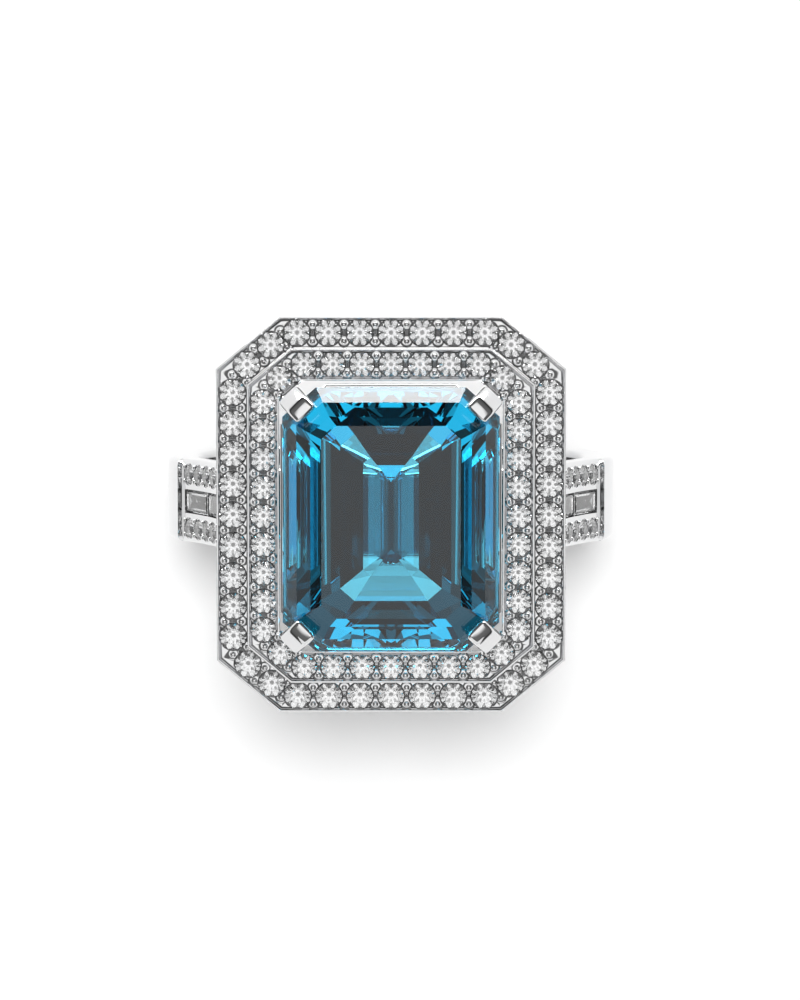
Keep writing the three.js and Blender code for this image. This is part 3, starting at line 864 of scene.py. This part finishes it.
def build_stones():
    finish_piece(centre_stone(), "centre_topaz", TOPAZ, ["centre_stone"])
    for side in ("north", "east", "south", "west"):
        strip = strip_of_stones(halo_places(OUTER_ROW), side, OUTER_GIRDLE, OUTER_STONE)
        node = f"outer_halo_stones_{side}"
        finish_piece(strip, f"outer_melee_{side}", DIAMOND, [node])
    for i, (x, y, _) in enumerate(halo_places(INNER_ROW)):
        stone = at(brilliant(INNER_STONE), x, y, INNER_GIRDLE)
        number = f"{i + 1:02d}"
        node = f"inner_halo_stone_{number}"
        finish_piece(stone, f"inner_melee_{number}", DIAMOND, [node])
    for side, sign, row, y in shoulder_rows():
        stones = [placed(brilliant(SHOULDER_STONE), m) for m in row_matrices(sign, y)]
        node = f"shoulder_stones_{side}_{row}"
        name = f"shoulder_melee_{side}_{row}"
        finish_piece(merged("row", stones), name, DIAMOND, [node])
    for side, sign in (("right", 1), ("left", -1)):
        for level, matrix in zip(("lower", "upper"), baguette_matrices(sign)):
            node = f"baguette_{side}_{level}"
            finish_piece(placed(baguette(), matrix), f"step_{node}", DIAMOND, [node])


# ---------- Stage ----------

FLOOR_SIZE = 4.0
FLOOR_TINTS = ((0.9, 0.9, 0.9, 1), (0.93, 0.93, 0.93, 1))
FLOOR_GLOW = 0.2
BLACK_CARD = (3.35, 4.5, 16.9)  # half sizes and height, in millimetres
SUN_STRENGTH = 1.9
SUN_ANGLE = math.radians(14)  # how soft its shadow is
SUN_TILT = math.radians(-12)
SKY_STRENGTH = 1.15
BACK_SOFTBOX = {  # behind the head, low down
    "radiance": 10,
    "size": (0.2, 0.04),
    "place": Vector((0, 0.11, 0.0105)),
    "outward": Vector((0, 0.11, 0)),
}
FRONT_SOFTBOX = {  # in front and above
    "radiance": 0.9,
    "size": (0.5, 0.3),
    "place": Vector((0, -0.35, 0.19)),
    "outward": Vector((0, -0.35, 0.18)),
}
CAMERA_TILT = math.radians(4.5)
CAMERA_DISTANCE = 0.14  # in metres, like the softboxes' sizes and places
CAMERA_LENS = 119.4
CAMERA_SENSOR = 36
CAMERA_CLIP = 0.01
FRAMING = (0.009, 0.0152)


def sheet(name, half_x, half_y, height):
    """A level rectangle centred over the origin."""
    corners = [(half_x * a, half_y * b, height) for a, b in ((-1, -1), (1, -1), (1, 1), (-1, 1))]
    mesh = bpy.data.meshes.new(name)
    mesh.from_pydata(corners, [], [(0, 1, 2, 3)])
    result = bpy.data.objects.new(name, mesh)
    bpy.context.scene.collection.objects.link(result)
    return result


def build_floor():
    material, nodes, links, shader = new_material("white_paper")
    shader.inputs["Roughness"].default_value = 0.9
    shader.inputs["Specular IOR Level"].default_value = 0.1
    tint_between(nodes, links, shader, noise(nodes, links, 60), FLOOR_TINTS)
    shader.inputs["Emission Color"].default_value = (1, 1, 1, 1)
    shader.inputs["Emission Strength"].default_value = FLOOR_GLOW
    floor = sheet("floor", FLOOR_SIZE / 2, FLOOR_SIZE / 2, 0)
    floor.location.z = CAD_BOUNDS[0].z
    floor.data.materials.append(material)


SKY = [  # height of the direction, from -1 straight down to 1 straight up, and brightness there
    (-1.0, 0.75), (0.12, 0.75),  # the horizon and below
    (0.19, 0.04), (0.42, 0.04), (0.52, 0.1), (0.87, 0.14),  # the dark middle, which the metal mirrors
    (0.912, 1.0), (1.0, 1.0),  # the lit ceiling
]


def build_sky():
    world = bpy.data.worlds.new("studio")
    bpy.context.scene.world = world
    world.use_nodes = True
    nodes, links = world.node_tree.nodes, world.node_tree.links
    place = nodes.new("ShaderNodeTexCoord")
    split = nodes.new("ShaderNodeSeparateXYZ")
    share = nodes.new("ShaderNodeMapRange")
    share.inputs["From Min"].default_value = -1
    ramp = nodes.new("ShaderNodeValToRGB")
    elements = ramp.color_ramp.elements
    while len(elements) < len(SKY):
        elements.new(0.5)
    for element, (height, value) in zip(elements, SKY):
        element.position = (height + 1) / 2
        element.color = (value, value, value, 1)
    links.new(place.outputs["Generated"], split.inputs["Vector"])
    links.new(split.outputs["Z"], share.inputs["Value"])
    links.new(share.outputs["Result"], ramp.inputs["Fac"])
    background = nodes["Background"]
    background.inputs["Strength"].default_value = SKY_STRENGTH
    links.new(ramp.outputs["Color"], background.inputs["Color"])


def build_lights():
    overhead = bpy.data.lights.new("overhead", "SUN")
    overhead.energy = SUN_STRENGTH
    overhead.angle = SUN_ANGLE
    lamp = bpy.data.objects.new("overhead", overhead)
    lamp.rotation_euler = (SUN_TILT, 0, 0)
    lamp.visible_glossy = False
    lamp.visible_transmission = False
    bpy.context.scene.collection.objects.link(lamp)
    build_softbox("back_softbox", **BACK_SOFTBOX)
    build_softbox("front_softbox", **FRONT_SOFTBOX)


def build_black_card():
    """The small card over the blue stone that darkens its heart. Only light through a stone sees it."""
    card = sheet("black_card", *(size * MM for size in BLACK_CARD))
    material, nodes, links, shader = new_material("black_paper")
    links.new(remap(nodes, links, noise(nodes, links, 300), 0.8, 1.0), shader.inputs["Roughness"])
    shader.inputs["Base Color"].default_value = (0.01, 0.01, 0.01, 1)
    card.data.materials.append(material)
    card.visible_camera = False
    card.visible_shadow = False
    card.visible_diffuse = False
    card.visible_glossy = False


def build_softbox(name, radiance, size, place, outward):
    """A lamp that shines against outward, seen only in reflections and through the stones."""
    light = bpy.data.lights.new(name, "AREA")
    light.shape = "RECTANGLE"
    light.size, light.size_y = size
    light.energy = radiance * math.pi * light.size * light.size_y
    lamp = bpy.data.objects.new(name, light)
    lamp.location = place
    lamp.rotation_euler = outward.to_track_quat("Z", "Y").to_euler()
    lamp.visible_camera = False
    lamp.visible_diffuse = False
    bpy.context.scene.collection.objects.link(lamp)


def build_camera():
    camera = bpy.data.cameras.new("camera")
    camera.lens = CAMERA_LENS
    camera.sensor_width = CAMERA_SENSOR
    camera.clip_start = CAMERA_CLIP
    camera.shift_x, camera.shift_y = FRAMING
    holder = bpy.data.objects.new("camera", camera)
    target = Vector((0, 0, OUTER_TOP * MM))
    back = Vector((0, math.sin(CAMERA_TILT), math.cos(CAMERA_TILT)))
    holder.location = target + back * CAMERA_DISTANCE
    holder.rotation_euler = (-CAMERA_TILT, 0, 0)
    bpy.context.scene.collection.objects.link(holder)
    bpy.context.scene.camera = holder


build_metal()
build_stones()
build_floor()
build_sky()
build_lights()
build_black_card()
build_camera()
bpy.context.scene.view_settings.view_transform = "Standard"
